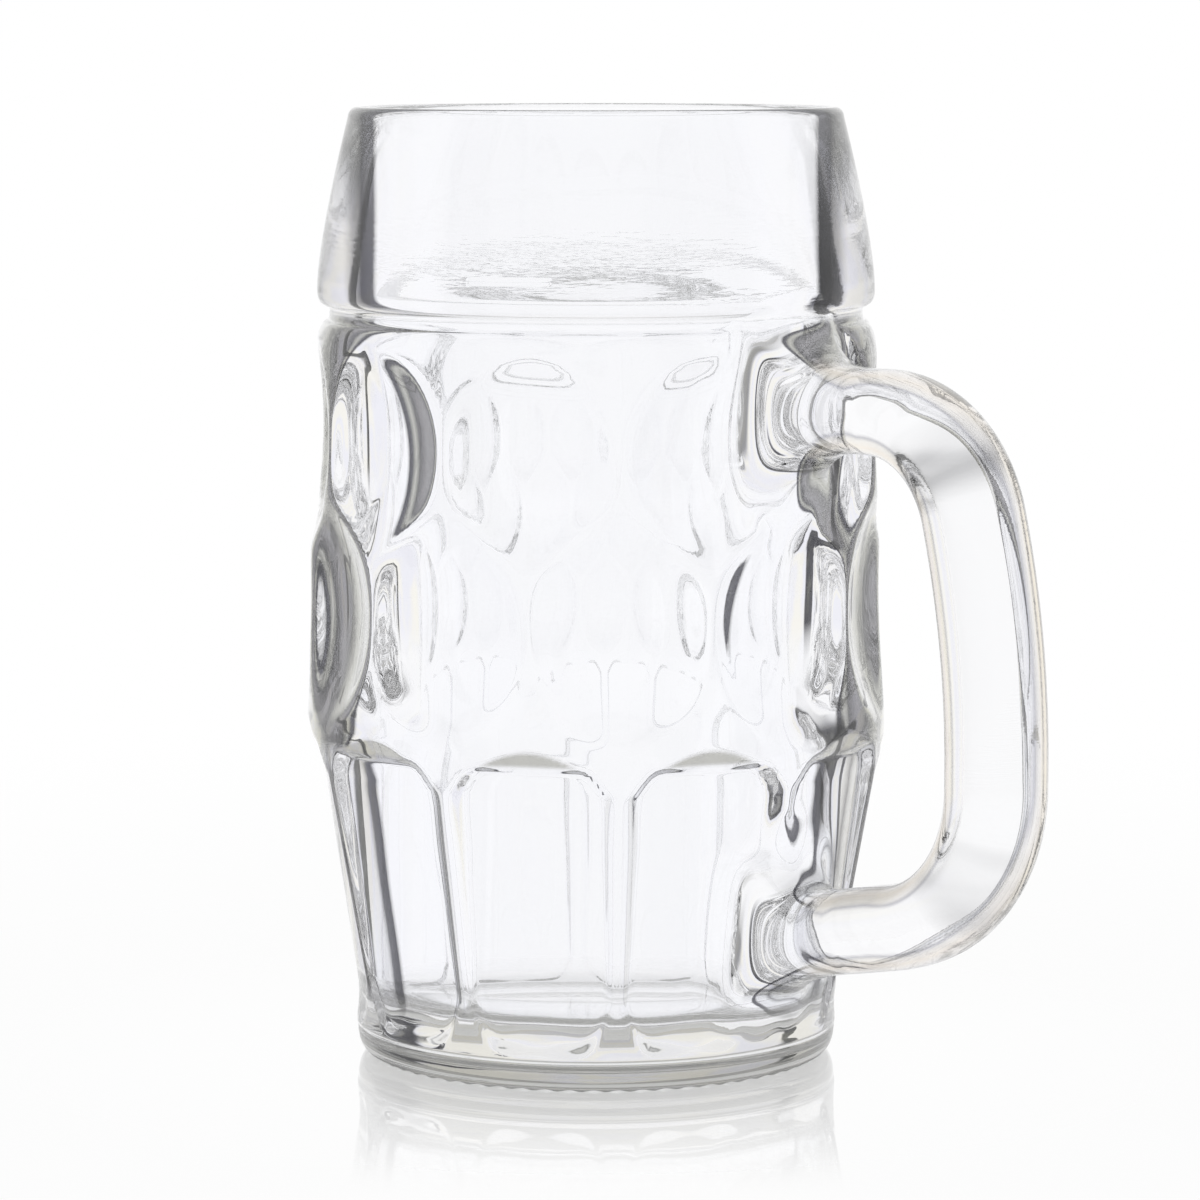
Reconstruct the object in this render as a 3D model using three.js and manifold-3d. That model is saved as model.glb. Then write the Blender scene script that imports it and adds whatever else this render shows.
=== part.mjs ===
// A clear glass beer mug: a dimpled vessel and a bar handle that sits on two pads of the vessel.
// Units are millimetres. +Z is up, the mug stands on z = 0 and the handle points along +X.
import * as THREE from 'three';
import { mergeVertices } from 'three/addons/utils/BufferGeometryUtils.js';
import Module from 'manifold-3d';

const wasm = await Module();
wasm.setup();

// Collar and lip; the collar's curve leaves the upright COLLAR_BULGE above its lower edge
const HEIGHT = 155;
const LIP_R = 40.3;
const LIP_THICK = 3.4;
const COLLAR_R = 45.4;
const COLLAR_Z = 123.4;
const COLLAR_ROUND = 1.8;
const COLLAR_BULGE = 9;

// Groove between the collar and the barrel
const GROOVE_R = 43.6;
const GROOVE_H = 2;
const SHOULDER_H = 4.4;

// Barrel and belt; the belt stands BELT_PROUD outside the tops of the ribs
const BARREL_TOP_R = 45.9;
const BELT_R = 47.5;
const BELT_Z = 54.5;
const BELT_PROUD = 0.2;

// Inside of the vessel: flat floor, round corner, then nearly straight up to the lip
const FLOOR_Z = 10;
const FLOOR_R = 31.6;
const INSIDE_LOW_Z = 15;
const INSIDE_LOW_R = 36.4;

// Ribs and foot; the ribs begin with a small step of height RIB_STEP and stand RIB_PROUD outside the foot
const FOOT_WALL = 3;
const FOOT_R = INSIDE_LOW_R + FOOT_WALL;
const HEEL_R = 4;
const RIB_TOP_Z = 51;
const RIB_TOP_R = BELT_R - BELT_PROUD;
const RIB_LOW_Z = 11;
const RIB_PROUD = 0.7;
const RIB_LOW_R = FOOT_R + RIB_PROUD;
const RIB_STEP = 1;

// Dimples: balls flattened in height that cut into the barrel, in two staggered rows
const AROUND = 10;
const DIMPLE_BALL_R = 41;
const DIMPLE_DEPTH = 4.4;
const DIMPLE_UPPER_Z = 102;
const DIMPLE_UPPER_HALF = 17;
const DIMPLE_LOWER_Z = 75;
const DIMPLE_LOWER_HALF = 17.5;

// Panels: tongue-shaped recesses between the ribs
const PANEL_DEPTH = 1.6;
const RIB_W = 5;
const PANEL_APEX_Z = 55.5;
const PANEL_SHOULDER_Z = 50;
const PANEL_FOOT_Z = 13;
const PANEL_TIP_Z = 6.4;

// The ribs stand this far round from the handle's plane
const PATTERN_TURN = THREE.MathUtils.degToRad(-3.6);

// Handle: an oval bar, squarer than an ellipse when BAR_SQUARE is more than 2; BOW_LEAN is how far
// the bow's top stands inside its widest place
const BAR_T = 13.5;
const BAR_W = 16;
const BAR_SQUARE = 2.6;
const HANDLE_UPPER_Z = 108.6;
const HANDLE_LOWER_Z = 24.6;
const HANDLE_REACH = 94;
const BEND_UPPER_R = 20;
const BEND_LOWER_R = 24;
const BOW_LEAN = 5.8;
const BOW_TILT = THREE.MathUtils.degToRad(13);
const BOW_WIDE_Z = 58;
const LOWER_ARM_TILT = THREE.MathUtils.degToRad(11);

// Pads on the vessel that the two ends of the bar sit on
const PAD_UPPER_X = 51;
const PAD_LOWER_X = 47;
const PAD_UPPER_FILLET = 10;
const PAD_LOWER_FILLET = 6.5;
const PAD_FLARE = 6;
const SEAT_GAP = 0.3;

// Straight pieces round the vessel and round the bar
const SEGMENTS = 50;
const BAR_POINTS = 24;

const GLASS = { color: 0xe8f0ef, roughness: 0.05, metalness: 0 };

// A closed solid from a three.js geometry
function solid(geometry) {
  const bare = geometry.clone();
  bare.deleteAttribute('normal');
  bare.deleteAttribute('uv');
  const merged = mergeVertices(bare, 1e-4);
  const index = merged.index.array;
  const triVerts = [];
  for (let i = 0; i < index.length; i += 3) {
    const [a, b, c] = [index[i], index[i + 1], index[i + 2]];
    if (a !== b && b !== c && c !== a) triVerts.push(a, b, c);
  }
  return new wasm.Manifold(new wasm.Mesh({
    numProp: 3,
    vertProperties: new Float32Array(merged.attributes.position.array),
    triVerts: new Uint32Array(triVerts),
  }));
}

// A named mesh from a solid
function piece(name, body) {
  const { vertProperties, triVerts } = body.getMesh();
  const geometry = new THREE.BufferGeometry();
  geometry.setAttribute('position', new THREE.BufferAttribute(vertProperties, 3));
  geometry.setIndex(new THREE.BufferAttribute(triVerts, 1));
  geometry.computeVertexNormals();
  const mesh = new THREE.Mesh(geometry, new THREE.MeshStandardMaterial(GLASS));
  mesh.name = name;
  return mesh;
}

// A profile of radius and height, turned about the Z axis
function turned(points) {
  return new THREE.LatheGeometry(points, SEGMENTS).rotateX(Math.PI / 2);
}

// Radius of the rib crests at height z
function ribRadius(z) {
  return THREE.MathUtils.mapLinear(z, RIB_LOW_Z, RIB_TOP_Z, RIB_LOW_R, RIB_TOP_R);
}

// Radius of the barrel at height z
const SHOULDER_Z = COLLAR_Z - GROOVE_H - SHOULDER_H;
function barrelRadius(z) {
  return THREE.MathUtils.mapLinear(z, BELT_Z, SHOULDER_Z, BELT_R, BARREL_TOP_R);
}

// The vessel before its pattern is cut: outside from the foot up, over the lip, inside down
function blank() {
  const lip = LIP_THICK / 2;
  const p = new THREE.Path();
  p.moveTo(0, 0);
  p.lineTo(FOOT_R - HEEL_R, 0);
  p.absarc(FOOT_R - HEEL_R, HEEL_R, HEEL_R, -Math.PI / 2, 0);
  p.lineTo(FOOT_R, RIB_LOW_Z - RIB_STEP);
  p.lineTo(RIB_LOW_R, RIB_LOW_Z);
  p.lineTo(RIB_TOP_R, RIB_TOP_Z);
  p.quadraticCurveTo(BELT_R, (2 * RIB_TOP_Z + BELT_Z) / 3, BELT_R, BELT_Z);
  p.lineTo(BARREL_TOP_R, SHOULDER_Z);
  p.quadraticCurveTo(BARREL_TOP_R, SHOULDER_Z + SHOULDER_H, GROOVE_R, SHOULDER_Z + SHOULDER_H);
  p.lineTo(GROOVE_R, COLLAR_Z);
  p.quadraticCurveTo(COLLAR_R, COLLAR_Z, COLLAR_R, COLLAR_Z + COLLAR_ROUND);
  p.quadraticCurveTo(COLLAR_R, COLLAR_Z + COLLAR_BULGE, LIP_R, HEIGHT - lip);
  p.absarc(LIP_R - lip, HEIGHT - lip, lip, 0, Math.PI);
  p.lineTo(INSIDE_LOW_R, INSIDE_LOW_Z);
  p.quadraticCurveTo(INSIDE_LOW_R, FLOOR_Z, FLOOR_R, FLOOR_Z);
  p.lineTo(0, FLOOR_Z);
  return solid(turned(p.getPoints(3)));
}

// The dimples of both rows; the upper row lies between the ribs, the lower row over them
function dimples() {
  const round = Math.sqrt(DIMPLE_BALL_R ** 2 - (DIMPLE_BALL_R - DIMPLE_DEPTH) ** 2);
  const rows = [
    [DIMPLE_UPPER_Z, DIMPLE_UPPER_HALF, 0.5],
    [DIMPLE_LOWER_Z, DIMPLE_LOWER_HALF, 0],
  ];
  const cuts = [];
  for (const [z, half, turn] of rows) {
    for (let i = 0; i < AROUND; i += 1) {
      const ball = new THREE.SphereGeometry(DIMPLE_BALL_R, 44, 22).rotateX(Math.PI / 2);
      ball.scale(1, 1, half / round);
      ball.translate(barrelRadius(z) - DIMPLE_DEPTH + DIMPLE_BALL_R, 0, z);
      ball.rotateZ(PATTERN_TURN + ((i + turn) * 2 * Math.PI) / AROUND);
      cuts.push(solid(ball));
    }
  }
  return wasm.Manifold.union(cuts);
}

// The recesses between the ribs: tongue outlines pushed outwards, kept outside the panel surface
function panels() {
  const halfWidth = (z) => (Math.PI * ribRadius(z)) / AROUND - RIB_W / 2;
  const wide = halfWidth(PANEL_SHOULDER_Z);
  const narrow = halfWidth(PANEL_FOOT_Z);
  const tongue = new THREE.Shape();
  tongue.moveTo(-narrow, PANEL_FOOT_Z);
  const pull = (4 * PANEL_TIP_Z - PANEL_FOOT_Z) / 3;
  tongue.bezierCurveTo(-narrow, pull, narrow, pull, narrow, PANEL_FOOT_Z);
  tongue.lineTo(wide, PANEL_SHOULDER_Z);
  tongue.quadraticCurveTo(0, 2 * PANEL_APEX_Z - PANEL_SHOULDER_Z, -wide, PANEL_SHOULDER_Z);
  const outward = new THREE.Matrix4().makeBasis(
    new THREE.Vector3(0, 1, 0),
    new THREE.Vector3(0, 0, 1),
    new THREE.Vector3(1, 0, 0),
  );
  const tongues = [];
  for (let i = 0; i < AROUND; i += 1) {
    const cut = new THREE.ExtrudeGeometry(tongue, { depth: BELT_R, bevelEnabled: false, curveSegments: 6 });
    cut.applyMatrix4(outward);
    cut.translate(FOOT_R / 2, 0, 0);
    cut.rotateZ(PATTERN_TURN + ((i + 0.5) * 2 * Math.PI) / AROUND);
    tongues.push(solid(cut));
  }
  const low = PANEL_TIP_Z - 1;
  const high = PANEL_APEX_Z + 1;
  const outside = [
    new THREE.Vector2(BELT_R + 5, low),
    new THREE.Vector2(BELT_R + 5, high),
    new THREE.Vector2(ribRadius(high) - PANEL_DEPTH, high),
    new THREE.Vector2(ribRadius(low) - PANEL_DEPTH, low),
    new THREE.Vector2(BELT_R + 5, low),
  ];
  return wasm.Manifold.union(tongues).intersect(solid(turned(outside)));
}

// A pad for one end of the bar: the bar's oval at its flat face, flared towards the wall
function pad(faceX, z, fillet) {
  const half = BAR_T / 2;
  const p = new THREE.Path();
  p.moveTo(0, -2 * fillet);
  p.lineTo(half + PAD_FLARE, -2 * fillet);
  p.lineTo(half + PAD_FLARE, -fillet);
  p.quadraticCurveTo(half, -fillet, half, 0);
  p.lineTo(0, 0);
  const flare = new THREE.LatheGeometry(p.getPoints(5), 30);
  flare.scale(1, 1, BAR_W / BAR_T);
  flare.rotateZ(-Math.PI / 2);
  flare.rotateX(Math.PI / 2);
  flare.translate(faceX, 0, z);
  return solid(flare);
}

// A core a little wider than the inside of the vessel, which the pads stay out of
const CORE_MARGIN = 0.5;
function core() {
  const top = LIP_R - LIP_THICK + CORE_MARGIN;
  const bottom = INSIDE_LOW_R + CORE_MARGIN;
  const cone = new THREE.CylinderGeometry(top, bottom, COLLAR_Z, SEGMENTS).rotateX(Math.PI / 2);
  return solid(cone.translate(0, 0, COLLAR_Z / 2));
}

// The bar's centre line in its own plane; both ends run on past the pads' faces
function centreLine() {
  const reach = HANDLE_REACH - BAR_T / 2;
  const turn = Math.PI / 2 - BOW_TILT;
  const bendX = reach - BOW_LEAN - BEND_UPPER_R * Math.sin(turn);
  const bowTopZ = HANDLE_UPPER_Z - BEND_UPPER_R * (1 - Math.cos(turn));
  const fall = Math.PI / 2 - LOWER_ARM_TILT;
  const armEndX = reach - BEND_LOWER_R * (1 - Math.cos(fall));
  const armEndZ = HANDLE_LOWER_Z + (armEndX - PAD_LOWER_X) * Math.tan(LOWER_ARM_TILT);
  const bendZ = armEndZ + BEND_LOWER_R * Math.sin(fall);
  const p = new THREE.Path();
  p.moveTo(PAD_UPPER_X - BAR_T, HANDLE_UPPER_Z);
  p.lineTo(bendX, HANDLE_UPPER_Z);
  p.absarc(bendX, HANDLE_UPPER_Z - BEND_UPPER_R, BEND_UPPER_R, Math.PI / 2, Math.PI / 2 - turn, true);
  p.quadraticCurveTo(reach, bowTopZ - BOW_LEAN / Math.tan(BOW_TILT), reach, BOW_WIDE_Z);
  p.lineTo(reach, bendZ);
  p.absarc(reach - BEND_LOWER_R, bendZ, BEND_LOWER_R, 0, -fall, true);
  p.lineTo(PAD_LOWER_X - BAR_T, HANDLE_LOWER_Z - BAR_T * Math.tan(LOWER_ARM_TILT));
  const points = p.getSpacedPoints(40).map((q) => new THREE.Vector3(q.x, 0, q.y));
  return new THREE.CatmullRomCurve3(points);
}

// A block that fills everything from the axis out to the seat of one end of the bar
function seatBlock(faceX, z) {
  const width = faceX + SEAT_GAP;
  const block = new THREE.BoxGeometry(width, 3 * BAR_W, 3 * BAR_T);
  return solid(block.translate(width / 2, 0, z));
}

// The bar's section before it is widened: as wide as it is thick, with rounded corners
function section() {
  const points = [];
  for (let i = 0; i < BAR_POINTS; i += 1) {
    const c = Math.cos((i * 2 * Math.PI) / BAR_POINTS);
    const s = Math.sin((i * 2 * Math.PI) / BAR_POINTS);
    const far = (Math.abs(c) ** BAR_SQUARE + Math.abs(s) ** BAR_SQUARE) ** (-1 / BAR_SQUARE);
    points.push(new THREE.Vector2((c * far * BAR_T) / 2, (s * far * BAR_T) / 2));
  }
  return new THREE.Shape(points);
}

// The bar: its section swept along the centre line, widened and cut off at its seats
function bar() {
  const sweep = { steps: 40, extrudePath: centreLine() };
  const rod = new THREE.ExtrudeGeometry(section(), sweep).scale(1, BAR_W / BAR_T, 1);
  const seats = seatBlock(PAD_UPPER_X, HANDLE_UPPER_Z).add(seatBlock(PAD_LOWER_X, HANDLE_LOWER_Z));
  return solid(rod).subtract(seats);
}

const upperPad = pad(PAD_UPPER_X, HANDLE_UPPER_Z, PAD_UPPER_FILLET);
const lowerPad = pad(PAD_LOWER_X, HANDLE_LOWER_Z, PAD_LOWER_FILLET);
const cut = blank().subtract(dimples()).subtract(panels());
const vessel = cut.add(upperPad.add(lowerPad).subtract(core()));

const mug = new THREE.Group();
mug.name = 'glass_mug';
mug.add(piece('vessel', vessel));
mug.add(piece('handle', bar()));

export default mug;
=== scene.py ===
# %% [markdown]
# # A clear glass beer mug
# This lesson dresses a measured model of a thick pressed-glass mug. The measured model has two solids,
# a vessel and a handle. On the real mug they are one piece of glass. Clear glass shows every face
# inside it, so two solids that only touch would show a seam at each root of the handle. The lesson
# therefore makes one continuous skin, which stands for both solids.

# %% Load the measured part
import math

import bmesh
import bpy
from mathutils import Matrix, Vector, geometry, noise


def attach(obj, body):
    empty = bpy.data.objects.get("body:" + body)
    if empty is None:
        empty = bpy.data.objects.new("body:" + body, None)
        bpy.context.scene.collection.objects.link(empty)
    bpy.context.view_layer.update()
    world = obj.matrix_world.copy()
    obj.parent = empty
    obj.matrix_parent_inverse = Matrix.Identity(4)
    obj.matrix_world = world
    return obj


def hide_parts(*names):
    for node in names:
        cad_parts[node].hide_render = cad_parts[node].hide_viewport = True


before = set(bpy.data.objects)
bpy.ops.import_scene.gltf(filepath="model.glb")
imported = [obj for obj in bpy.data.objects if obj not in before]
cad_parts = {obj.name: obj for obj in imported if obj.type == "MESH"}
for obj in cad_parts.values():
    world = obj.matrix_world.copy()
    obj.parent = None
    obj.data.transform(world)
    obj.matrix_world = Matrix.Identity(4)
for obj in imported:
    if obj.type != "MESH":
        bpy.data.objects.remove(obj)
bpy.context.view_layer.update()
MM = 0.001

# %% [markdown]
# ## The half section
# A mug is round apart from its pressed pattern, so it can start as half of its cross-section, spun
# about the axis. The section is drawn as Bezier pieces, in millimetres of radius and height. It runs
# from the middle of the underside, out over the foot, up the outside, over the lip and down inside.
# A Solidify modifier could make the wall from the outside alone, but then the wall would be equally
# thick everywhere. Here it is thick at the belt, and thin at the foot and the lip.

# %% Draw the half section
UNDERSIDE_Z = 2.6
BELT_R = 47.38
COLLAR_R = 45.4
INSIDE_R = 36.4
FLOOR_R, FLOOR_Z = 31.6, 10.0
RIM_Z = 154.99
section = [Vector((0, 0, UNDERSIDE_Z))]


def draw(steps, end, pull_a=None, pull_b=None):
    """Carry the section on to end, straight or pulled towards two handles."""
    start = section[-1]
    stop = Vector((end[0], 0, end[1]))
    a = Vector((pull_a[0], 0, pull_a[1])) if pull_a else start.lerp(stop, 1 / 3)
    b = Vector((pull_b[0], 0, pull_b[1])) if pull_b else start.lerp(stop, 2 / 3)
    section.extend(geometry.interpolate_bezier(start, a, b, stop, steps + 1)[1:])


# The underside, the ring that the mug stands on, and a fine groove above the rounded edge
draw(8, (31.0, 1.9))
draw(5, (34.3, 0.3), (33.0, 1.8), (33.4, 0.3))
draw(5, (37.0, 0.3))
draw(7, (39.3, 4.2), (38.5, 0.4), (39.25, 1.8))
draw(1, (38.9, 4.5))
draw(1, (39.42, 4.9))
# The panels, the belt and the barrel
draw(3, (39.5, 7.0))
draw(5, (40.1, 12.5), (39.53, 8.8), (39.75, 10.8))
draw(33, (46.62, 48.0))
draw(20, (BELT_R, 55.0), (47.05, 50.2), (47.45, 52.8))
draw(8, (47.16, 59.0))
draw(46, (45.9, 114.5), (46.55, 72.5), (46.8, 95.0))
# The shoulder, the groove, the collar and the lip
draw(8, (43.65, 120.7), (45.7, 117.8), (44.9, 120.5))
draw(3, (43.6, 122.8), (43.35, 120.9), (43.3, 122.7))
draw(6, (COLLAR_R, 125.3), (44.7, 122.9), (COLLAR_R, 123.7))
draw(26, (40.3, 153.3), (COLLAR_R, 130.1), (43.7, 139.5))
draw(6, (38.6, RIM_Z), (40.3, 154.24), (39.54, RIM_Z))
draw(6, (36.9, 153.3), (37.66, RIM_Z), (36.9, 154.24))
# The inside, down to its floor
draw(20, (INSIDE_R, 15.0))
draw(9, (FLOOR_R, FLOOR_Z + 0.1), (INSIDE_R, 12.1), (34.5, FLOOR_Z + 0.1))
draw(8, (0.0, FLOOR_Z - 0.1))
print("half section:", len(section), "points")

# %% [markdown]
# ## The blank
# `bmesh.ops.spin` sweeps the section round the Z axis. The pattern repeats ten times, so one wedge is
# swept and then copied round, which gives every repeat the same mesh and is quicker than one long
# spin. The wedges meet along their edges and on the axis, so doubles are merged afterwards.

# %% Spin the blank
REPEATS = 10
PITCH = 2 * math.pi / REPEATS
AROUND = 340
mug = bmesh.new()
rail = [mug.verts.new(p) for p in section]
for a, b in zip(rail, rail[1:]):
    mug.edges.new((a, b))
about = {"cent": (0, 0, 0), "axis": (0, 0, 1)}
bmesh.ops.spin(mug, geom=mug.verts[:] + mug.edges[:], angle=PITCH, steps=AROUND // REPEATS, **about)
wedge = mug.verts[:] + mug.edges[:] + mug.faces[:]
others = REPEATS - 1
bmesh.ops.spin(mug, geom=wedge, angle=PITCH * others, steps=others, use_duplicate=True, **about)
bmesh.ops.remove_doubles(mug, verts=mug.verts[:], dist=1e-4)
print("blank:", len(mug.verts), "points,", len(mug.faces), "faces")

# %% [markdown]
# ## Tools for pressing
# In the works a plunger presses soft glass into a mould. Here each point of the outside moves inwards
# until it touches the mould, so every form of the pattern is a formula for the radius. Boolean cuts
# would leave sharp, uneven edges, which show up badly in glass. A soft minimum rounds the ridge
# where two forms meet, as the skin of cooling glass does.

# %% Make the pressing tools
TURN = math.radians(-3.6)
WALL_R, COLLAR_WALL_R, COLLAR_FROM_Z = 37.6, 39.0, 90.0


def between(value, low, high):
    """How far a value has come from low to high, from 0 to 1."""
    return min(max((value - low) / (high - low), 0.0), 1.0)


def soft_min(a, b, width):
    """The smaller of two values, rounded over where they are close."""
    near = max(width - abs(a - b), 0.0) / width
    return min(a, b) - near * near * width / 4


def off_centre(angle, shift):
    """The angle from the middle of the nearest repeat."""
    steps = (angle - TURN) / PITCH - shift
    return (steps - round(steps)) * PITCH


def is_outside(radius, z):
    """Whether a point is on the outside: the inside is narrower than the middle of the wall."""
    return radius > (COLLAR_WALL_R if z > COLLAR_FROM_Z else WALL_R)


def press(low_z, high_z, new_radius):
    """Move the outside between two heights to a new radius, and count the points."""
    pressed = 0
    for v in mug.verts:
        radius, angle, z = math.hypot(v.co.x, v.co.y), math.atan2(v.co.y, v.co.x), v.co.z
        if low_z < z < high_z and is_outside(radius, z):
            radius = new_radius(angle, z, radius)
            v.co = Vector((radius * math.cos(angle), radius * math.sin(angle), z))
            pressed += 1
    return pressed


print("pattern:", REPEATS, "repeats of", round(math.degrees(PITCH)), "degrees")

# %% [markdown]
# ## The dimples
# The barrel carries two rows of round dimples, staggered like bricks. Each is the mark of a ball
# pressed into the glass, a little squashed in height. Neighbours run into each other, so narrow ridges
# stay between them. A ball has a plain formula for the radius that it leaves, so no mesh of a ball is
# needed.

# %% Press the two rows of dimples
BALL, DIMPLE_DEEP, RIDGE_ROUND = 41.0, 4.4, 1.0
BARREL_Z = 55, 121
# Each row: its height, its shift round the mug in repeats, the radius there and half its height
ROWS = [(102.0, 0.5, 46.5, 17.0), (75.0, 0.0, 46.85, 17.5)]


def dimpled(angle, z, radius):
    for row_z, shift, barrel, half_high in ROWS:
        out = barrel - DIMPLE_DEEP + BALL
        away = off_centre(angle, shift)
        squash = math.sqrt(BALL ** 2 - (BALL - DIMPLE_DEEP) ** 2) / half_high
        inside = BALL ** 2 - (out * math.sin(away)) ** 2 - (squash * (z - row_z)) ** 2
        if inside > 0:
            radius = soft_min(radius, out * math.cos(away) - math.sqrt(inside), RIDGE_ROUND)
    return radius


print("dimples pressed over", press(*BARREL_Z, dimpled), "points")

# %% [markdown]
# ## The panels
# Below the belt each repeat has one tall tongue-shaped panel, with a round rib on either side. A rib is
# only a few millimetres wide, and an even mesh has few points on it. So the points of each repeat are
# first turned a little towards its rib, all but at the handle, whose root needs the even mesh.

# %% Gather points at the ribs
GATHER, GATHER_IN, GATHER_OUT = 0.5, (4, 9), (60, 50)
for v in mug.verts:
    radius, angle, z = math.hypot(v.co.x, v.co.y), math.atan2(v.co.y, v.co.x), v.co.z
    if is_outside(radius, z) and abs(angle - TURN) > PITCH / 2:
        share = between(z, *GATHER_IN) * between(z, *GATHER_OUT)
        turn = GATHER * share * math.sin(REPEATS * off_centre(angle, 0)) / REPEATS
        v.co = Matrix.Rotation(-turn, 3, "Z") @ v.co
print("ribs:", round((1 - GATHER) * 360 / AROUND, 2), "degrees between points")

# %% [markdown]
# The depth of a panel grows with the square of the distance from the middle of the rib, which leaves
# the rib a rounded bead, narrower towards its foot. At the top a sloping facet cuts the panel off in
# an arch, and at the bottom a softer slope brings it back out to the foot, in a round tip between the
# pointed feet of the ribs. An inset and a bevel could make a panel too, but they would not follow the
# taper of the wall.

# %% Press the tongue panels
PANEL_Z = 5, 58
PANEL_DEEP, FOOT_SHARE, DEEPENS = 1.9, 0.4, (12, 48)
RIB_HALF, RIB_FOOT_HALF, WIDENS = 2.9, 1.6, (12, 40)
PANEL_TOP, ARCH_RISE, ARCH_HALF = 53.2, 2.6, 8.0
CORNER_WIDE, CORNER_DROP = 3.7, 3.2
FACET_FALL, WALL_FALL = 0.45, 1.6
PANEL_FOOT, FOOT_RISE, TIP_ROUND = 6.0, 7.0, 6
TIP_FALL, SIDE_FALL = 0.14, 0.5
BEAD_ROUND, EDGE_ROUND = 0.2, 0.3


def arch_top(away):
    """The height at which the sloping facet over a panel runs out."""
    return PANEL_TOP + ARCH_RISE * (1 - (away / ARCH_HALF) ** 2)


def rib_half(z):
    """Half the width of a rib at some height."""
    return RIB_FOOT_HALF + (RIB_HALF - RIB_FOOT_HALF) * between(z, *WIDENS)


def panelled(angle, z, radius):
    away = abs(off_centre(angle, 0.5)) * radius
    half_pitch = PITCH / 2 * radius
    most = PANEL_DEEP * (FOOT_SHARE + (1 - FOOT_SHARE) * between(z, *DEEPENS))
    deep = soft_min(most * ((half_pitch - away) / rib_half(z)) ** 2, most, BEAD_ROUND)
    corner = max(away - ARCH_HALF, 0.0) / CORNER_WIDE
    wall = WALL_FALL * (PANEL_TOP - CORNER_DROP * corner ** 2 - z)
    top = max(FACET_FALL * (arch_top(away) - z), wall)
    foot = min(away / (half_pitch - RIB_FOOT_HALF), 1.0)
    fall = TIP_FALL + SIDE_FALL * foot ** 2
    bottom = fall * (z - PANEL_FOOT - FOOT_RISE * foot ** TIP_ROUND)
    return radius - max(soft_min(soft_min(deep, top, EDGE_ROUND), bottom, EDGE_ROUND), 0.0)


print("panels pressed over", press(*PANEL_Z, panelled), "points")

# %% [markdown]
# The arches cross the mesh at a slant, which leaves small steps in their edges. Two rounds of
# `smooth_vert` take the steps away and round the edges a little, as heat does to real glass.

# %% Round the arches
EVERY_WAY = {"use_axis_x": True, "use_axis_y": True, "use_axis_z": True}
ARCH_LOW, ARCH_HIGH, ARCH_ROUNDS = 46.5, 57.5, 2
belt = [v for v in mug.verts if ARCH_LOW < v.co.z < ARCH_HIGH]
arches = [v for v in belt if is_outside(v.co.to_2d().length, v.co.z)]
for _ in range(ARCH_ROUNDS):
    bmesh.ops.smooth_vert(mug, verts=arches, factor=0.5, **EVERY_WAY)
print("arches rounded over", len(arches), "points")

# %% [markdown]
# ## The fill line
# A short raised line on the collar shows how full the mug should be. The mesh is too coarse for it,
# so `bisect_plane` first cuts the faces there into narrow strips, and the middle strip is raised. A
# bump in the material would show the line too, but not in the exported mesh.

# %% Raise the fill line
LINE_AT, LINE_Z, LINE_HALF = math.radians(-62.0), 128.7, 6.0
LINE_HIGH, LINE_THICK, LINE_SLOPE = 0.3, 0.2, 0.5


def near_line(co, along, up):
    """Whether a point of the collar lies within some millimetres of the fill line."""
    off = (math.atan2(co.y, co.x) - LINE_AT) * COLLAR_R
    return abs(co.z - LINE_Z) < up and abs(off) < along and is_outside(co.to_2d().length, co.z)


for z in (LINE_Z - LINE_SLOPE, LINE_Z - LINE_THICK, LINE_Z + LINE_THICK, LINE_Z + LINE_SLOPE):
    patch = [f for f in mug.faces if near_line(f.calc_center_median(), LINE_HALF + 2, 2)]
    cut = patch + list({e for f in patch for e in f.edges}) + list({v for f in patch for v in f.verts})
    bmesh.ops.bisect_plane(mug, geom=cut, dist=1e-4, plane_co=(0, 0, z), plane_no=(0, 0, 1))
raised = [v for v in mug.verts if near_line(v.co, LINE_HALF, (LINE_THICK + LINE_SLOPE) / 2)]
for v in raised:
    v.co += Vector((v.co.x, v.co.y, 0)).normalized() * LINE_HIGH
print("fill line:", len(raised), "points raised")

# %% [markdown]
# ## The foot
# The mug stands on a narrow ring with fine teeth, which keep hot glass off the conveyor in the works.
# The teeth are a wave round the ring. Sixty separate teeth could be extruded instead, but a wave has
# the soft form that pressed teeth have.

# %% Press the teeth of the foot
TEETH, TOOTH_HIGH = 60, 0.3
RING_IN, RING_OUT, RING_TOP = 34, 37.2, 0.5
for v in mug.verts:
    radius, angle = math.hypot(v.co.x, v.co.y), math.atan2(v.co.y, v.co.x)
    if v.co.z < RING_TOP and RING_IN < radius < RING_OUT:
        v.co.z -= TOOTH_HIGH * (0.5 + 0.5 * math.cos(TEETH * angle))
print("foot: lowest point", round(min(v.co.z for v in mug.verts), 3), "mm")

# %% [markdown]
# ## The roots, opened
# The handle grows out of the vessel in two thick roots. A square patch of the vessel is cut out at
# each root, with as many points round its edge as the bar will have round its section, so that the
# two can be sewn together point by point.

# %% Open the roots
WIDE, HIGH = 24, 22
RING = 2 * (WIDE + HIGH)
UPPER_ROOT_Z, LOWER_ROOT_Z = 95.0, 13.2
levels = sorted({round(p.z, 4) for p in section if is_outside(p.x, p.z)})


def open_root(low_z):
    """Cut a patch of WIDE by HIGH faces out of the vessel, upwards from a height."""
    rows = [z for z in levels if z > low_z]
    half = WIDE / 2 * 2 * math.pi / AROUND
    patch = []
    for f in mug.faces:
        c = f.calc_center_median()
        in_patch = rows[0] < c.z < rows[HIGH] and abs(math.atan2(c.y, c.x)) < half
        if in_patch and is_outside(c.to_2d().length, c.z):
            patch.append(f)
    bmesh.ops.delete(mug, geom=patch, context="FACES")
    print("root patch from", rows[0], "to", rows[HIGH], "mm,", RING, "points round its edge")


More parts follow.
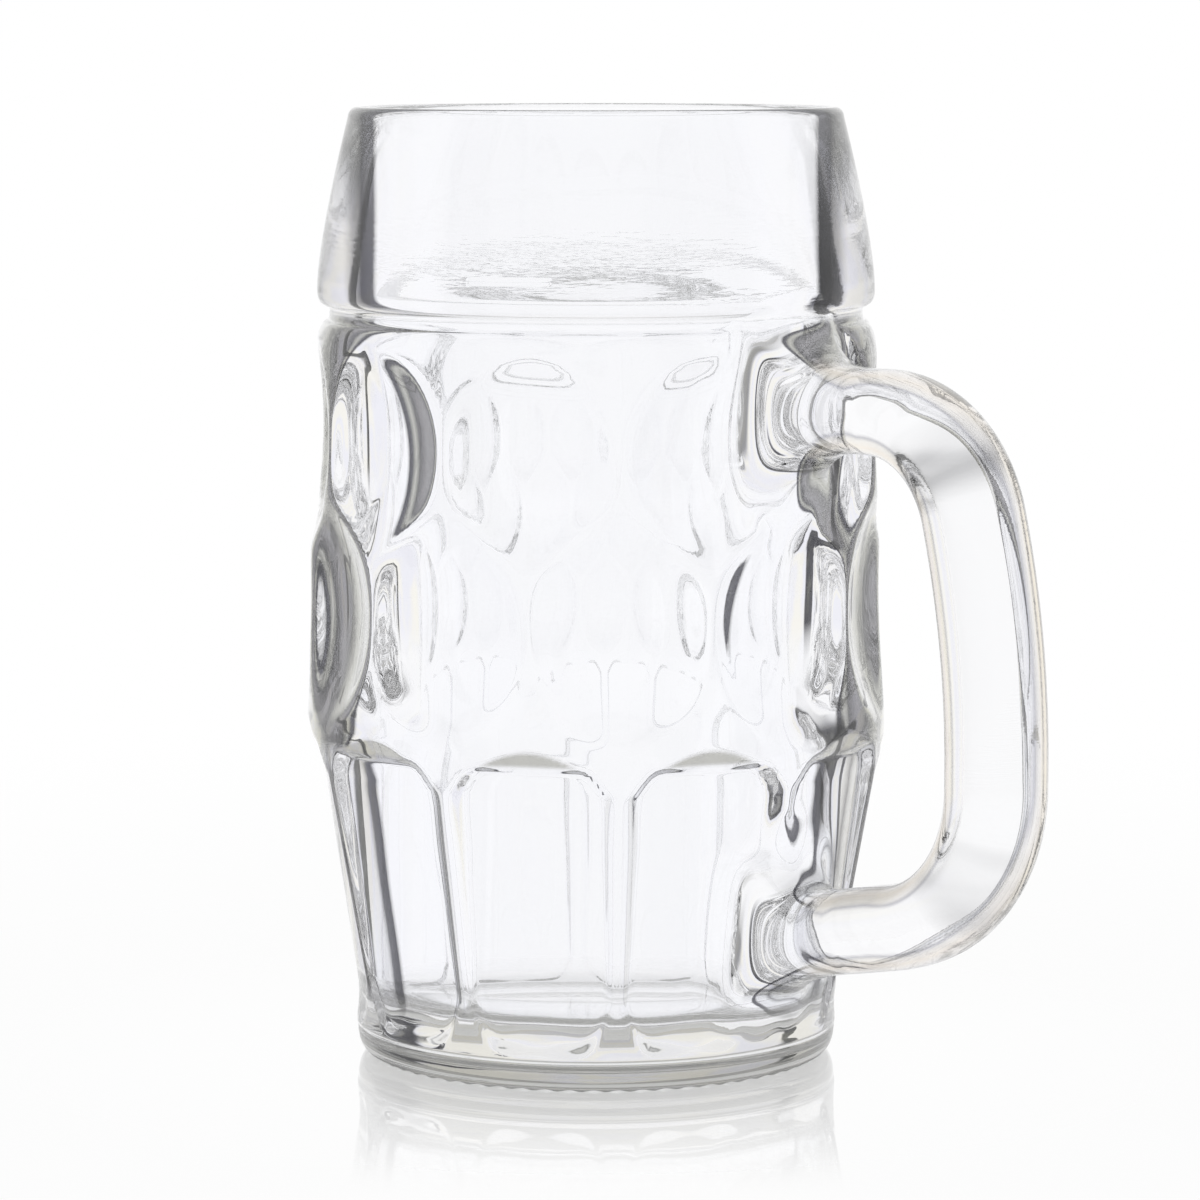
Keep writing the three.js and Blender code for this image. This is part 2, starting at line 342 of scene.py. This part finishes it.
open_root(UPPER_ROOT_Z)
open_root(LOWER_ROOT_Z)

# %% [markdown]
# ## The handle
# The handle is one bar with an oval section, a little squared. A ring of points is extruded along the
# straight arms and spun round the bends, so the section stays the same all the way. A curve with
# a bevel would do it too, but its end rings could not be sewn to the vessel point by point.

# %% Shape the bar's section
BAR_T, BAR_W, SQUARE = 13.5, 16.0, 2.6
ARM_X, ARM_Z = 53.0, 108.6
bar = bmesh.new()
ring = bmesh.ops.create_circle(bar, segments=RING, radius=1.0, cap_ends=False)["verts"]
for v in ring:
    v.co /= (abs(v.co.x) ** SQUARE + abs(v.co.y) ** SQUARE) ** (1 / SQUARE)
bmesh.ops.scale(bar, verts=ring, vec=(BAR_T / 2, BAR_W / 2, 1))
bmesh.ops.rotate(bar, verts=ring, cent=(0, 0, 0), matrix=Matrix.Rotation(math.pi / 2, 3, "Y"))
bmesh.ops.translate(bar, verts=ring, vec=(ARM_X, 0, ARM_Z))
print("bar section:", len(ring), "points,", BAR_T, "by", BAR_W, "mm")

# %% [markdown]
# Two helpers carry the open end of the bar on, one straight and one round a bend. Each takes the edges
# of the open end and gives back the edges of the new one. A third tells where the end is.

# %% Make the sweeping tools
def straight(edges, vec, steps):
    """Extrude the open end straight along a vector."""
    for _ in range(steps):
        made = bmesh.ops.extrude_edge_only(bar, edges=edges)["geom"]
        verts = [g for g in made if isinstance(g, bmesh.types.BMVert)]
        bmesh.ops.translate(bar, verts=verts, vec=Vector(vec) / steps)
        edges = [g for g in made if isinstance(g, bmesh.types.BMEdge) and len(g.link_faces) == 1]
    return edges


def bend(edges, centre, angle, steps):
    """Spin the open end round a centre, in the plane of the handle."""
    verts = list({v for e in edges for v in e.verts})
    made = bmesh.ops.spin(bar, geom=verts + edges, cent=centre, axis=(0, 1, 0), angle=angle, steps=steps)
    return [g for g in made["geom_last"] if isinstance(g, bmesh.types.BMEdge)]


def middle(edges):
    """The middle of the open end."""
    verts = list({v for e in edges for v in e.verts})
    return sum((v.co for v in verts), Vector()) / len(verts)


print("bar starts at", [round(c, 1) for c in middle(bar.edges[:])])

# %% [markdown]
# The bar leaves the vessel level, turns down in a tight bend, runs down in a wide bow that leans
# outwards, turns back in at the bottom and falls a little towards the lower root.

# %% Sweep the bar
UPPER_BEND, BOW, LOWER_BEND = 20.0, 147.0, 24.0
REACH = 93.96 - BAR_T / 2
FALL = math.radians(11)
TILT = math.radians(15)
END_X, END_Z = 49.2, 25.0

turn_upper = math.pi / 2 - TILT
bend_x = REACH - BOW * (1 - math.cos(TILT)) - UPPER_BEND * math.sin(turn_upper)
end = straight(bar.edges[:], (bend_x - ARM_X, 0, 0), 8)
end = bend(end, (bend_x, 0, ARM_Z - UPPER_BEND), turn_upper, 24)
top = middle(end)
end = bend(end, (top.x - BOW * math.cos(TILT), 0, top.z - BOW * math.sin(TILT)), TILT, 32)
low = middle(end)
turn_lower = math.pi / 2 - FALL
arm_x = REACH - LOWER_BEND * (1 - math.cos(turn_lower))
bend_z = END_Z + (arm_x - END_X) * math.tan(FALL) + LOWER_BEND * math.sin(turn_lower)
end = straight(end, (0, 0, bend_z - low.z), 3)
end = bend(end, (REACH - LOWER_BEND, 0, bend_z), turn_lower, 28)
here = middle(end)
end = straight(end, (END_X - here.x, 0, END_Z - here.z), 16)
print("handle: bow from", [round(c, 1) for c in top], "to", [round(c, 1) for c in low])

# %% [markdown]
# ## The roots, sewn
# The bar joins the mesh of the vessel, and `bridge_loops` sews the edge of each patch to an end of the
# bar. The sewn strip is subdivided, and smoothing turns it into a flowing root, as the glass of
# a real root flows from the body into the handle.

# %% Sew the handle on
UPPER_ROOT, LOWER_ROOT = (46, 0, 107), (42, 0, 25.5)
ROOT_REACH, ROUNDS = 19, 40
SEWN_ROWS, HALF_WAY_UP = 9, 60
bar_mesh = bpy.data.meshes.new("bar")
bar.to_mesh(bar_mesh)
bar.free()
mug.from_mesh(bar_mesh)
bpy.data.meshes.remove(bar_mesh)


def sew(edges):
    made = bmesh.ops.bridge_loops(mug, edges=edges)
    bmesh.ops.subdivide_edges(mug, edges=made["edges"], cuts=SEWN_ROWS, use_grid_fill=True)


def smooth_root(centre):
    near = [v for v in mug.verts if (v.co - Vector(centre)).length < ROOT_REACH]
    root = [v for v in near if is_outside(v.co.to_2d().length, v.co.z)]
    for _ in range(ROUNDS):
        bmesh.ops.smooth_vert(mug, verts=root, factor=0.5, **EVERY_WAY)
    return len(root)


open_edges = [e for e in mug.edges if e.is_boundary]
sew([e for e in open_edges if e.verts[0].co.z > HALF_WAY_UP])
sew([e for e in open_edges if e.verts[0].co.z < HALF_WAY_UP])
print("roots smoothed over", smooth_root(UPPER_ROOT), "and", smooth_root(LOWER_ROOT), "points")

# %% [markdown]
# ## Marks on the skin
# The glass looks different from place to place, so every point will carry a few numbers that the
# material reads. Two of them need a formula. `rib` marks the beads of the ribs, by the distance from
# their middle. The other marks the two bends of the handle, where grey painted shade stands for the
# light that the bent glass turns aside, by the angle round the middle of the bend.

# %% Outline the ribs and the bends
RIB_TOP, RIB_TOP_SOFT, RIB_FOOT, RIB_FOOT_SOFT = 51, 7, 10.5, 6.5
ELBOWS = [(bend_x, ARM_Z - UPPER_BEND, 40), (REACH - LOWER_BEND, bend_z, -38)]
ELBOW_EDGE, ELBOW_CORE = 13, 2


def on_rib(from_middle, z):
    """1 on the bead of a rib and 0 beside it, with a soft edge."""
    across = from_middle / rib_half(z)
    along = between(z, RIB_TOP - RIB_TOP_SOFT, RIB_TOP) + between(z, RIB_FOOT + RIB_FOOT_SOFT, RIB_FOOT)
    return between(math.hypot(across, along), 1.0, 0.85)


def on_elbow(x, z):
    """1 across the middle of a bend of the handle, and 0 before and after it."""
    turns = [abs(math.degrees(math.atan2(z - cz, x - cx)) - at) for cx, cz, at in ELBOWS]
    return between(min(turns), ELBOW_EDGE, ELBOW_CORE)


print("bends about", [(round(cx, 1), round(cz, 1)) for cx, cz, at in ELBOWS])

# %% [markdown]
# The other marks follow mostly from the height or the radius. `pattern`, `panel`, `collar`, `lip` and
# `bar` say which part of the outside a point belongs to. `foot` marks the thick bottom, which is tinted
# grey, most at the very bottom, and `facet` the small slopes over the panels, which get a line of
# dark painted shade. `grain` marks the collar and the handle, whose skin is finely rippled,
# and `round` holds the radius, as a share of the collar's.

# %% Mark the skin
LAYERS = "pattern", "panel", "rib", "collar", "lip", "bar", "bend_shade", "foot", "facet", "grain", "round"
# Heights over which a mark comes in or goes out
PATTERN_IN, PATTERN_OUT, PANEL_OUT = (9, 13), (122.5, 121.5), (54, 49)
COLLAR_IN, LIP_IN, GRAIN_IN, GRAIN_OUT = (122.5, 124), (136, 148), (120, 124), (142, 133)
FACET_IN, BELOW_ARCH = (PANEL_TOP - 0.4, PANEL_TOP + 0.2), (0, 0.7)
FOOT_TOP, FOOT_OUT = 4.6, 14
# Radii over which a mark comes in or goes out
FOOT_IN_R, FOOT_OUT_R = 30, 42
BAR_IN, ELBOW_IN, BAR_GRAIN_IN, BODY_OUT = (52, 57), (60, 66), (50, 56), (50, 46)
# Shares of a mark, where it isn't full
FOOT_FAINT, LIP_GRAIN, BAR_GRAIN = 0.26, 0.25, 0.5
mark = {name: mug.verts.layers.float.new(name) for name in LAYERS}
for v in mug.verts:
    radius, angle, z = math.hypot(v.co.x, v.co.y), math.atan2(v.co.y, v.co.x), v.co.z
    if FOOT_IN_R < radius < FOOT_OUT_R and z < FOOT_OUT:
        v[mark["foot"]] = 1.0 if z < FOOT_TOP else FOOT_FAINT * between(z, FOOT_OUT, FOOT_TOP)
    to_lip = LIP_GRAIN + (1 - LIP_GRAIN) * between(z, *GRAIN_OUT)
    on_collar = between(z, *GRAIN_IN) * between(radius, *BODY_OUT) * to_lip
    v[mark["grain"]] = max(on_collar, BAR_GRAIN * between(radius, *BAR_GRAIN_IN))
    if is_outside(radius, z):
        away = abs(off_centre(angle, 0.5)) * radius
        below_arch = between(arch_top(away) - z, *BELOW_ARCH)
        v[mark["pattern"]] = between(z, *PATTERN_IN) * between(z, *PATTERN_OUT)
        v[mark["panel"]] = between(z, *PATTERN_IN) * between(z, *PANEL_OUT)
        v[mark["collar"]] = between(z, *COLLAR_IN)
        v[mark["lip"]] = between(z, *LIP_IN)
        v[mark["bar"]] = between(radius, *BAR_IN)
        # Where grey painted shade goes on the bends of the handle
        v[mark["bend_shade"]] = between(radius, *ELBOW_IN) * on_elbow(v.co.x, z)
        v[mark["round"]] = radius / COLLAR_R
        # Where dark painted shade goes on the facets over the panels
        v[mark["facet"]] = between(z, *FACET_IN) * below_arch
        if abs(angle) > PITCH / 2:
            v[mark["rib"]] = on_rib(PITCH / 2 * radius - away, z)
print("marks:", ", ".join(f"{name} on {sum(v[mark[name]] > 0 for v in mug.verts)}" for name in LAYERS))

# %% [markdown]
# ## The finished skin
# Pressed glass is never quite even. A slow wave of a few hundredths of a millimetre is enough to make
# the lines in the wall waver as they do in a real mug. Then the mesh is checked for open edges, because
# light that enters glass through a hole never finds its way out.

# %% Finish the skin
WAVE_LONG, WAVE_HIGH = 14, 0.05
GRAMS = 2.5e6
for v in mug.verts:
    flat = Vector((v.co.x, v.co.y, 0))
    if v.co.z > 1 and flat.length > 5:
        v.co += flat.normalized() * noise.noise(v.co / WAVE_LONG) * WAVE_HIGH
bmesh.ops.remove_doubles(mug, verts=mug.verts[:], dist=1e-4)
bmesh.ops.recalc_face_normals(mug, faces=mug.faces[:])
bmesh.ops.scale(mug, verts=mug.verts[:], vec=(MM, MM, MM))
for f in mug.faces:
    f.smooth = True
loose = sum(not e.is_manifold for e in mug.edges)
print("skin:", loose, "open edges,", round(mug.calc_volume() * GRAMS), "g of glass")

# %% [markdown]
# The mesh becomes one Blender object at the origin. It rides on the only body and stands for both
# measured solids, which are hidden.

# %% Hand the skin to the frame
skin = bpy.data.meshes.new("glass_mug")
mug.to_mesh(skin)
mug.free()
glass_mug = bpy.data.objects.new("glass_mug", skin)
bpy.context.scene.collection.objects.link(glass_mug)
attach(glass_mug, "root")
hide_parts("vessel", "handle")
print("skin:", sum(len(f.vertices) - 2 for f in skin.polygons), "triangles")

# %% [markdown]
# ## Tools for nodes
# A material is a graph of nodes. Most nodes only need a few settings and inputs, so one helper adds
# a node and either links an input or sets its value. Three more wrap the nodes that come up most often:
# a sum, a mix of two colours and a fade from one value to another.

# %% Make the node tools
def add(tree, kind, inputs=None, **settings):
    """Add a shader node. An input is linked if it is a socket, and set if it is a value."""
    n = tree.nodes.new("ShaderNode" + kind)
    for name, value in settings.items():
        setattr(n, name, value)
    for name, value in (inputs or {}).items():
        if isinstance(value, bpy.types.NodeSocket):
            tree.links.new(value, n.inputs[name])
        else:
            n.inputs[name].default_value = value
    return n


def reckon(tree, operation, a, b=0.0):
    """Reckon with one or two numbers or sockets."""
    return add(tree, "Math", {0: a, 1: b}, operation=operation).outputs["Value"]


def mixed(tree, share, a, b):
    """Mix colour a with a share of colour b."""
    return add(tree, "Mix", {0: share, 6: a, 7: b}, data_type="RGBA").outputs[2]


def fade(tree, value, low, high, to_low, to_high):
    """Go smoothly from one value to another while an input goes from low to high."""
    limits = {"From Min": low, "From Max": high, "To Min": to_low, "To Max": to_high}
    n = add(tree, "MapRange", {"Value": value, **limits}, interpolation_type="SMOOTHSTEP")
    return n.outputs["Result"]


print("node tools: add, reckon, mixed and fade")

# %% [markdown]
# ## The glass
# Soda glass bends light by 1.52 and has almost no colour of its own. A Principled shader with full
# transmission and no roughness does that. The skin of a pressed mug has one more feature, fine ripples
# that run round it, where the mould was a little cold. They are a stretched noise in a Bump
# node, strong only in patches and only where the points carry `grain`.

# %% Start the glass
glass = bpy.data.materials.new("clear_glass")
glass.use_nodes = True
clear = glass.node_tree
shader = clear.nodes["Principled BSDF"]
for name, value in (("Roughness", 0.0), ("IOR", 1.52), ("Transmission Weight", 1.0)):
    shader.inputs[name].default_value = value


def marked(name):
    """The mark that the points carry under a name."""
    return add(clear, "Attribute", attribute_name=name).outputs["Fac"]


STRETCH = (0.12, 0.12, 1)
RIPPLE_FINE, PATCH_FINE, RIPPLE_HIGH = 1800, 90, 0.03 * MM
COLD_EDGE = (0.42, 0.6)
place = add(clear, "TexCoord").outputs["Object"]
streaks = add(clear, "Mapping", {"Vector": place, "Scale": STRETCH}).outputs["Vector"]
ripple = add(clear, "TexNoise", {"Vector": streaks, "Scale": RIPPLE_FINE, "Detail": 2}).outputs["Fac"]
ripple_and_shade_patches = add(clear, "TexNoise", {"Vector": streaks, "Scale": PATCH_FINE}).outputs["Fac"]
strength = reckon(clear, "MULTIPLY", fade(clear, ripple_and_shade_patches, *COLD_EDGE, 0.0, 1.0), marked("grain"))
ripples = add(clear, "Bump", {"Height": ripple, "Strength": strength, "Distance": RIPPLE_HIGH})
clear.links.new(ripples.outputs["Normal"], shader.inputs["Normal"])
skin.materials.append(glass)
print("glass: bends light by", round(shader.inputs["IOR"].default_value, 2))

# %% [markdown]
# ## Dark lines in the glass
# A clear mug on white is drawn by its dark lines. They lie where the skin is steep: there light from
# the white backdrop cannot get through, and the eye sees the dim room instead. Lamps and dark screens
# round the mug could make these lines, but they would also darken places that stay clear. So the lines
# are painted shade: each part of the outside gets a colour ramp over its slope, which darkens the glass
# where it is steep. The shader tints light by the square root of its colour at each crossing, so a ramp
# holds squares.

# %% Make the tone tools
CLEAR = (0.993, 0.994, 1.0)


def lets_through(value, *stops):
    """How much light of each colour the skin lets through, as a value goes from 0 to 1."""
    n = add(clear, "ValToRGB", {"Fac": value})
    while len(n.color_ramp.elements) < len(stops):
        n.color_ramp.elements.new(0.5)
    for element, (position, *light) in zip(n.color_ramp.elements, stops):
        element.position = position
        element.color = [part ** 2 for part in light] + [1]
    return n.outputs["Color"]


def facing(normal):
    """The cosine of the angle between the light and a direction."""
    n = add(clear, "LayerWeight", {"Blend": 0.5, "Normal": normal})
    return reckon(clear, "SUBTRACT", 1.0, n.outputs["Facing"])


def sine(cosine):
    """The sine of an angle, from its cosine."""
    square = reckon(clear, "MULTIPLY", cosine, cosine)
    return reckon(clear, "SQRT", reckon(clear, "SUBTRACT", 1.0, square))


print("clear glass lets through", CLEAR)

# %% [markdown]
# The slope goes from face-on at 0 to edge-on at 1. On the vessel it is measured in the level plane,
# because a round wall traps only light that runs round it. On the collar the limit is the inside wall:
# light that passes the axis further out than the inside radius stays in the wall, so there the ramp
# runs over the distance from the axis.

# %% Measure the slope
LEAST_LEVEL = 0.05
square_on = facing(ripples.outputs["Normal"])
upwards = facing(add(clear, "CombineXYZ", {"Z": 1.0}).outputs["Vector"])
sideways = reckon(clear, "MAXIMUM", sine(upwards), LEAST_LEVEL)
level = reckon(clear, "MINIMUM", reckon(clear, "DIVIDE", square_on, sideways), 1.0)
slope = reckon(clear, "SUBTRACT", 1.0, level)
steep = reckon(clear, "SUBTRACT", 1.0, square_on)
off_axis = reckon(clear, "MULTIPLY", sine(level), marked("round"))
print("slope:", len(clear.nodes), "nodes so far")

# %% [markdown]
# Each ramp is a row of stops: a place from 0 to 1, and how much red, green and blue comes through there.
# The stops paint the lines of a real mug as shade and light. The pattern turns dark at once past a steep
# slope and has a paler line in the dark, the ribs have several fine lines, and the handle stays light,
# with warm edges that are a painted reflection.

# %% Tone the glass by its slope
# Painted shade by slope for each part of the outside
painted_tones = {
    "pattern": lets_through(
        slope, (0, *CLEAR), (0.435, 0.975, 0.977, 0.995), (0.452, 0.09, 0.09, 0.11),
        (0.472, 0.12, 0.12, 0.14), (0.495, 0.5, 0.5, 0.47), (0.52, 0.13, 0.13, 0.14),
        (0.58, 0.3, 0.295, 0.31), (0.655, 0.2, 0.2, 0.2), (0.74, 0.55, 0.55, 0.5),
        (0.85, 0.78, 0.78, 0.76), (1, 1, 1, 1)),
    "panel": lets_through(
        slope, (0, *CLEAR), (0.425, 0.975, 0.977, 0.995), (0.445, 0.1, 0.1, 0.12),
        (0.485, 0.16, 0.16, 0.18), (0.51, 0.8, 0.8, 0.83), (0.6, 0.88, 0.89, 0.92),
        (0.66, 0.3, 0.3, 0.32), (0.7, 0.75, 0.76, 0.78), (0.85, 0.85, 0.85, 0.84), (1, 1, 1, 1)),
    "rib": lets_through(
        slope, (0, *CLEAR), (0.19, 0.975, 0.977, 0.995), (0.215, 0.74, 0.74, 0.76),
        (0.25, 0.9, 0.9, 0.9), (0.35, 0.8, 0.8, 0.8), (0.37, 0.18, 0.18, 0.2),
        (0.4, 0.24, 0.24, 0.26), (0.43, 0.5, 0.5, 0.48), (0.46, 0.14, 0.14, 0.16),
        (0.5, 0.18, 0.18, 0.2), (0.55, 0.46, 0.46, 0.44), (0.61, 0.18, 0.18, 0.2),
        (0.7, 0.3, 0.3, 0.32), (0.78, 0.6, 0.6, 0.62), (1, 1, 1, 1)),
    "collar": lets_through(
        off_axis, (0, *CLEAR), (0.785, 0.985, 0.985, 0.995), (0.8, 0.14, 0.14, 0.16),
        (0.84, 0.08, 0.08, 0.1), (0.87, 0.4, 0.4, 0.43), (0.905, 0.85, 0.85, 0.87),
        (0.955, 0.74, 0.74, 0.75), (1, 0.55, 0.55, 0.55)),
    "lip": lets_through(
        off_axis, (0, *CLEAR), (0.785, 0.985, 0.985, 0.995), (0.8, 0.2, 0.2, 0.22),
        (0.84, 0.07, 0.07, 0.08), (0.865, 0.25, 0.25, 0.24), (0.9, 0.1, 0.1, 0.1), (1, 0.2, 0.2, 0.2)),
    # The handle: a line of painted shade, and warm edges as a painted reflection
    "bar": lets_through(
        steep, (0, *CLEAR), (0.34, 0.985, 0.985, 0.99), (0.38, 0.62, 0.62, 0.65),
        (0.44, 0.93, 0.91, 0.87), (0.6, 0.95, 0.89, 0.8), (0.78, 0.95, 0.92, 0.87),
        (0.9, 0.66, 0.66, 0.66), (1, 0.95, 0.95, 0.95)),
}
print("tones:", ", ".join(painted_tones))

# %% [markdown]
# The painted tones are laid over each other by the marks on the points. Then the bends of the handle get
# their uneven grey painted shade. The dark painted shade on the facets over the panels comes last, and
# only where they are seen from outside: from inside, it would show twice.

# %% Colour the glass
WATER_CLEAR = (0.985, 0.988, 1, 1)
FOOT_GREY = (0.3, 0.3, 0.285, 1)
# Dark painted shade for the facets over the panels
FACET_PAINTED_SHADE = (0.3, 0.295, 0.26, 1)
# Grey painted shade for the bends of the handle, faint in patches
BEND_SHADE_GREY = (0.3, 0.3, 0.31, 1)
BEND_SHADE_EDGE, BEND_SHADE_FAINT = (0.4, 0.62), 0.15
# The foot is tinted grey, most at the very bottom
colour = mixed(clear, marked("foot"), WATER_CLEAR, FOOT_GREY)
for name, tone in painted_tones.items():
    colour = mixed(clear, marked(name), colour, tone)
# The painted shade at the bends comes in patches of the same noise as the ripples
bend_shade_patches = fade(clear, ripple_and_shade_patches, *BEND_SHADE_EDGE, BEND_SHADE_FAINT, 1.0)
bend_shade_share = reckon(clear, "MULTIPLY", marked("bend_shade"), bend_shade_patches)
colour = mixed(clear, bend_shade_share, colour, BEND_SHADE_GREY)
inside = add(clear, "NewGeometry").outputs["Backfacing"]


def from_outside(share):
    """A share where the skin is seen from outside, and nothing where it is seen from inside."""
    return reckon(clear, "MULTIPLY", share, reckon(clear, "GREATER_THAN", share, inside))


# Dark painted shade on the facets, seen from outside only
colour = mixed(clear, from_outside(marked("facet")), colour, FACET_PAINTED_SHADE)
clear.links.new(colour, shader.inputs["Base Color"])
print("glass:", len(clear.nodes), "nodes")

# %% [markdown]
# ## The floor
# The mug stands on a white glossy sheet. A large plane would show an edge at the horizon, so the
# sheet is a disc that fades into the white behind it. The camera, and light that has passed through
# glass, see an even white, and the rest of the light sees plain paper, which keeps the soft shadow.
# Near the mug the sheet mirrors it, and the reflection fades with distance.

# %% Build the floor
FLOOR_REACH = 0.45
floor_mesh = bpy.data.meshes.new("floor")
sheet = bmesh.new()
bmesh.ops.create_circle(sheet, cap_ends=True, segments=96, radius=FLOOR_REACH)
sheet.to_mesh(floor_mesh)
sheet.free()
floor = bpy.data.objects.new("floor", floor_mesh)
bpy.context.scene.collection.objects.link(floor)
print("floor:", 2 * FLOOR_REACH, "m across")

# %% [markdown]
# The sheet's material mixes paper, an even glow and a mirror. The mirror fades from the foot of the mug
# outwards, and further out the sheet itself fades to nothing.

# %% Finish the floor
MIRROR_NEAR, MIRROR_FAR, MIRROR_MOST = 0.038, 0.115, 0.52
SHEET_NEAR, SHEET_FAR = 0.1, 0.42
EVEN = 0.97
floor_white = bpy.data.materials.new("floor_white")
floor_white.use_nodes = True
paper = floor_white.node_tree
paper.nodes.clear()
object_place = add(paper, "TexCoord").outputs["Object"]
far = add(paper, "VectorMath", {0: object_place}, operation="LENGTH").outputs["Value"]
rays = add(paper, "LightPath").outputs
matt = add(paper, "BsdfDiffuse", {"Color": (0.99, 0.99, 0.99, 1)}).outputs["BSDF"]
gloss = add(paper, "BsdfGlossy", {"Color": (1, 1, 1, 1), "Roughness": 0.0}).outputs["BSDF"]
glow = add(paper, "Emission", {"Color": (0.98, 0.98, 0.98, 1)}).outputs["Emission"]
nothing = add(paper, "BsdfTransparent").outputs["BSDF"]
bright = {0: rays["Is Camera Ray"], 1: EVEN, 2: rays["Is Transmission Ray"]}
share = add(paper, "Math", bright, operation="MULTIPLY_ADD").outputs["Value"]
even_white = add(paper, "MixShader", {0: share, 1: matt, 2: glow}).outputs["Shader"]
mirror = fade(paper, far, MIRROR_NEAR, MIRROR_FAR, MIRROR_MOST, 0.0)
polished = add(paper, "MixShader", {0: mirror, 1: even_white, 2: gloss}).outputs["Shader"]
solid = fade(paper, far, SHEET_NEAR, SHEET_FAR, 1.0, 0.0)
faded = add(paper, "MixShader", {0: solid, 1: nothing, 2: polished}).outputs["Shader"]
add(paper, "OutputMaterial", {"Surface": faded})
floor_mesh.materials.append(floor_white)
print("floor:", len(paper.nodes), "nodes")

# %% [markdown]
# ## The light
# Light tents give a glass its look: white all round, with narrow dark gaps. Light that goes straight
# through the glass has to stay white, as on the backdrop, and only light that is thrown back inside the
# glass should find the gaps. A world shader can tell the two apart with the Light Path node. The
# room seen that way has tall white screens behind the mug, dim gaps between them and a dim front.

# %% Make the room
BEHIND = math.radians(135.6)
SCREENS, WAVER = 3.7, 0.12
GAP_EDGE, SCREEN_TOP, FRONT_EDGE = (-0.84, -0.68), (0.4, 0.65), (-0.35, -0.05)
GAP_DARK, GAP_LIGHT = (0.03, 0.03, 0.04, 1), (0.13, 0.13, 0.11, 1)
CLOTH_COOL, CLOTH_WARM = (0.88, 0.88, 0.93, 1), (0.95, 0.93, 0.86, 1)
DIM_FRONT = (0.1, 0.1, 0.095, 1)
GAP_PATCH, CLOTH_PATCH = (0.45, 0.65), (0.4, 0.6)
OVER_SCREENS, FRONT_SHARE = 0.15, 0.75
world = bpy.data.worlds.new("studio")
bpy.context.scene.world = world
world.use_nodes = True
sky = world.node_tree
sky.nodes.clear()
towards = add(sky, "TexCoord").outputs["Generated"]
axes = add(sky, "SeparateXYZ", {"Vector": towards}).outputs
azimuth = reckon(sky, "ARCTAN2", axes["Y"], axes["X"])
uneven = add(sky, "TexNoise", {"Vector": towards, "Scale": 3.0, "Detail": 2.0}).outputs["Fac"]
waver = reckon(sky, "MULTIPLY", reckon(sky, "SUBTRACT", uneven, 0.5), WAVER)
angle = reckon(sky, "ADD", reckon(sky, "SUBTRACT", azimuth, BEHIND), waver)
row = reckon(sky, "COSINE", reckon(sky, "MULTIPLY", angle, SCREENS))
height = fade(sky, axes["Z"], *SCREEN_TOP, 1.0, OVER_SCREENS)
screens = reckon(sky, "MULTIPLY", fade(sky, row, *GAP_EDGE, 0.0, 1.0), height)
gap = mixed(sky, fade(sky, uneven, *GAP_PATCH, 0.0, 1.0), GAP_DARK, GAP_LIGHT)
cloth = mixed(sky, fade(sky, uneven, *CLOTH_PATCH, 0.0, 1.0), CLOTH_COOL, CLOTH_WARM)
front = fade(sky, reckon(sky, "COSINE", angle), *FRONT_EDGE, FRONT_SHARE, 0.0)
room = mixed(sky, front, mixed(sky, screens, gap, cloth), DIM_FRONT)
print("room: screens behind the mug, at", round(math.degrees(BEHIND), 1), "degrees")

# %% [markdown]
# The Light Path node counts how often a ray was mirrored and how often it passed a surface. A ray that
# was mirrored inside the glass shows the room. After more crossings it shows less of it, because
# in the real mug such light comes from everywhere and evens out.

# %% Light the mug
WHITE = (1, 1, 1, 1)
MANY_CROSSINGS, MANY_MIRRORS = 0.16, 0.75
path = add(sky, "LightPath").outputs
mirrored, passed = path["Glossy Depth"], path["Transmission Depth"]
once_mirrored = reckon(sky, "GREATER_THAN", mirrored, 0.5)
inner = reckon(sky, "MULTIPLY", once_mirrored, reckon(sky, "GREATER_THAN", passed, 0.5))
inner = reckon(sky, "MULTIPLY", inner, fade(sky, passed, 2.0, 3.0, 1.0, MANY_CROSSINGS))
inner = reckon(sky, "MULTIPLY", inner, fade(sky, mirrored, 1.0, 2.0, 1.0, MANY_MIRRORS))
in_glass = mixed(sky, inner, WHITE, room)
through = reckon(sky, "MAXIMUM", path["Is Glossy Ray"], path["Is Transmission Ray"])
light = add(sky, "Background", {"Color": mixed(sky, through, WHITE, in_glass), "Strength": 1.0})
add(sky, "OutputWorld", {"Surface": light.outputs["Background"]})
print("light:", len(sky.nodes), "nodes")

# %% [markdown]
# ## The camera
# The camera stands 0.84 m away, a little above the rim, and looks down by 6 degrees. A long lens keeps
# the sides of the mug almost parallel. Glass needs many bounces: a ray can cross the wall eight times
# and more, and a path that is cut short turns black.

# %% Place the camera
STAND = math.radians(-44.4)
AWAY, RAISED, DOWN = 0.839, 0.1676, math.radians(6.34)
ASIDE = 0.00065
SENSOR, LENS = 36, 154.4
BOUNCES = 32
scene = bpy.context.scene
eye = Vector((AWAY * math.cos(STAND), AWAY * math.sin(STAND), RAISED))
right = Vector((-math.sin(STAND), math.cos(STAND), 0))
aim = Vector((0, 0, RAISED - AWAY * math.tan(DOWN))) + right * ASIDE
camera_data = bpy.data.cameras.new("camera")
camera_data.sensor_width = SENSOR
camera_data.lens = LENS
camera = bpy.data.objects.new("camera", camera_data)
camera.location = eye
camera.rotation_euler = (aim - eye).to_track_quat("-Z", "Y").to_euler()
scene.collection.objects.link(camera)
scene.camera = camera
scene.view_settings.view_transform = "Standard"
scene.cycles.max_bounces = BOUNCES
scene.cycles.transmission_bounces = BOUNCES
scene.cycles.glossy_bounces = BOUNCES // 2
print("camera:", [round(c, 3) for c in eye], "m, lens", LENS, "mm")
